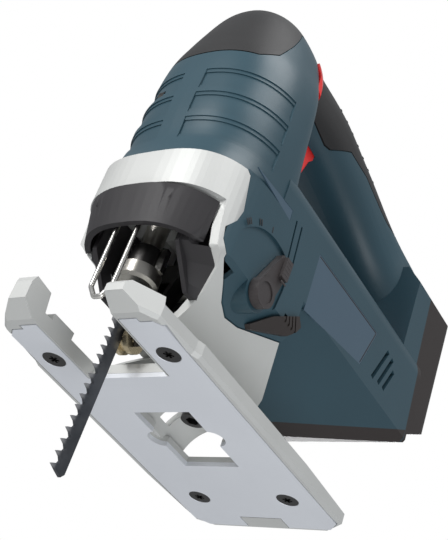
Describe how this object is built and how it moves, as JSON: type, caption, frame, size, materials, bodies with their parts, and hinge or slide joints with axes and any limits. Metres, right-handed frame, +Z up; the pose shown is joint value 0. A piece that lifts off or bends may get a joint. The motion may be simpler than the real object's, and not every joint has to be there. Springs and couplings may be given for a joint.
{
  "type": "cordless jigsaw",
  "caption": "Cordless jigsaw with a bow handle, tilting slotted base, orbit selector, roller guide, wire guard and a fitted wood blade; rear rails take a slide-on battery pack.",
  "frame": {"origin": "on the sole's underside, on the centre line, midway between the blade slot's rear edge and the window's front edge", "axes": "+X forward in the cutting direction, +Y the tool's left side with the orbit selector, +Z up"},
  "size_m": [0.212, 0.0806, 0.248],
  "materials": {
    "shell_plastic": "fine satin texture",
    "soft_grip": "matt",
    "red_plastic": "semi-gloss",
    "cast_alloy": "satin, tumbled casting",
    "sole_sheet": "smooth coated",
    "machined_steel": "machined",
    "dark_steel": "blackened",
    "blade_steel": "dark blue-black, etched",
    "wire_steel": "polished wire",
    "black_plastic": "matt",
    "brown_plastic": "matt",
    "lever_plastic": "matt",
    "label_film": "satin film",
    "bush_bronze": "sintered bronze",
    "roller_steel": "hardened, straw tinted",
    "laminations": "stacked sheet",
    "windings": "enamelled copper wire",
    "contact_metal": "plated",
    "potting": "potted electronics"
  },
  "bodies": {
    "housing": {"housing_left": "shell_plastic", "housing_right": "shell_plastic", "nose_grip": "soft_grip", "handle_grip": "soft_grip", "belly_strip": "brown_plastic", "battery_foot": "brown_plastic", "contact_block": "black_plastic", "contact_blades": "contact_metal", "housing_screws": "dark_steel", "label_plate_left": "label_film", "label_plate_right": "label_film", "badge_plate_left": "label_film", "badge_plate_right": "label_film", "gear_housing": "cast_alloy", "plunger_bushes": "bush_bronze", "wire_guard": "wire_steel", "front_liner": "black_plastic", "air_duct": "black_plastic", "bearing_plate": "cast_alloy", "gear_shaft": "machined_steel", "motor_bearings": "machined_steel", "motor_stator": "laminations", "stator_windings": "windings", "motor_end_cap": "black_plastic", "control_board": "potting", "trigger_switch": "black_plastic", "fork_pin": "machined_steel", "lever_pins": "machined_steel", "lever_lugs": "black_plastic", "clamp_bolt": "dark_steel", "clamp_washer": "machined_steel"},
    "base": {"base_casting": "cast_alloy", "sole_plate": "sole_sheet", "sole_screws": "dark_steel"},
    "plunger": {"plunger_rod": "machined_steel", "yoke": "machined_steel", "blade_holder": "machined_steel", "holder_sleeve": "dark_steel", "ejector_pin": "wire_steel", "blade": "blade_steel"},
    "gear": {"drive_gear": "machined_steel", "crank_pin": "machined_steel"},
    "rotor": {"motor_shaft": "machined_steel", "rotor_core": "laminations", "cooling_fan": "black_plastic"},
    "fork": {"roller_fork": "dark_steel", "roller_axle": "machined_steel"},
    "roller": {"guide_roller": "roller_steel"},
    "selector": {"orbit_lever": "lever_plastic", "orbit_cam_shaft": "machined_steel"},
    "blower": {"blower_slider": "brown_plastic"},
    "release": {"release_lever": "black_plastic"},
    "trigger_body": {"trigger": "red_plastic"},
    "lock": {"lock_button": "red_plastic"}
  },
  "joints": [
    {"name": "bevel_tilt", "type": "hinge", "parent": "housing", "child": "base", "pos_m": [0, 0, 0], "axis": [1, 0, 0], "range_deg": [-45, 45]},
    {"name": "plunger_stroke", "type": "slide", "parent": "housing", "child": "plunger", "axis": [0, 0, 1], "range_m": [-0.01, 0.016]},
    {"name": "gear_spin", "type": "hinge", "parent": "housing", "child": "gear", "pos_m": [0, 0, 0.1], "axis": [1, 0, 0], "continuous": true},
    {"name": "rotor_spin", "type": "hinge", "parent": "housing", "child": "rotor", "pos_m": [0, 0, 0.072], "axis": [1, 0, 0], "continuous": true},
    {"name": "fork_rock", "type": "hinge", "parent": "housing", "child": "fork", "pos_m": [0.008, 0, 0.051], "axis": [0, 1, 0], "range_deg": [0, 1.9]},
    {"name": "roller_spin", "type": "hinge", "parent": "fork", "child": "roller", "pos_m": [0.0194, 0, 0.0115], "axis": [0, 1, 0], "continuous": true},
    {"name": "orbit_select", "type": "hinge", "parent": "housing", "child": "selector", "pos_m": [0.0015, 0.0372, 0.0445], "axis": [0, 1, 0], "range_deg": [0, 78]},
    {"name": "blower_slide", "type": "slide", "parent": "housing", "child": "blower", "axis": [-1, 0, 0], "range_m": [-0.003, 0.003]},
    {"name": "release_swing", "type": "hinge", "parent": "housing", "child": "release", "pos_m": [0.0439, 0, 0.0615], "axis": [0, -1, 0], "range_deg": [0, 20], "stiffness_Nm_per_rad": 0.3, "springref_deg": -2.86},
    {"name": "trigger_pull", "type": "slide", "parent": "housing", "child": "trigger_body", "axis": [0, 0, 1], "range_m": [0, 0.006], "stiffness_N_per_m": 400, "springref_m": -0.003},
    {"name": "lock_push", "type": "slide", "parent": "housing", "child": "lock", "axis": [0, -1, 0], "range_m": [0, 0.003], "stiffness_N_per_m": 500, "springref_m": -0.001}
  ],
  "couplings": [
    {"joint": "rotor_spin", "follows": "gear_spin", "ratio": -6}
  ]
}
